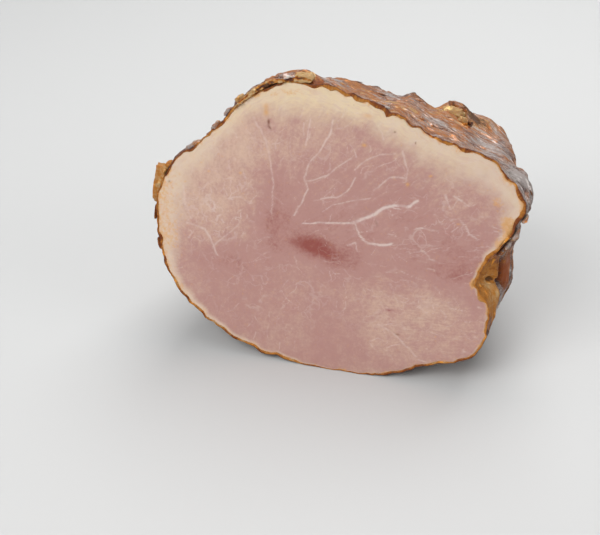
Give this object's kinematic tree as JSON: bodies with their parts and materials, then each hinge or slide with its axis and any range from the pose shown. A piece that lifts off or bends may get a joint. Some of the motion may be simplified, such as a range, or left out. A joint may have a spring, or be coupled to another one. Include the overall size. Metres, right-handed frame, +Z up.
{
  "type": "half ham",
  "caption": "Half of a boned smoked ham resting on its underside, with a flat cut face of pale marbled meat inside a dark wrinkled smoked rind.",
  "frame": {"origin": "on the plane that the ham rests on, under the middle of its overall width and depth", "axes": "+Z up, +X to the right of someone who looks at the cut face, +Y away from them, from the cut face to the tapered end. The cut face leans back by 12 degrees, so it looks towards -Y and a little up."},
  "size_m": [0.2718, 0.1918, 0.2088],
  "materials": {
    "rind": "dark brown smoked rind, wrinkled, with a dull greasy shine",
    "meat": "pale pink cured meat with cream fat and fine marbling, moist where it was cut"
  },
  "bodies": {
    "root": {"ham": "rind"}
  },
  "joints": []
}
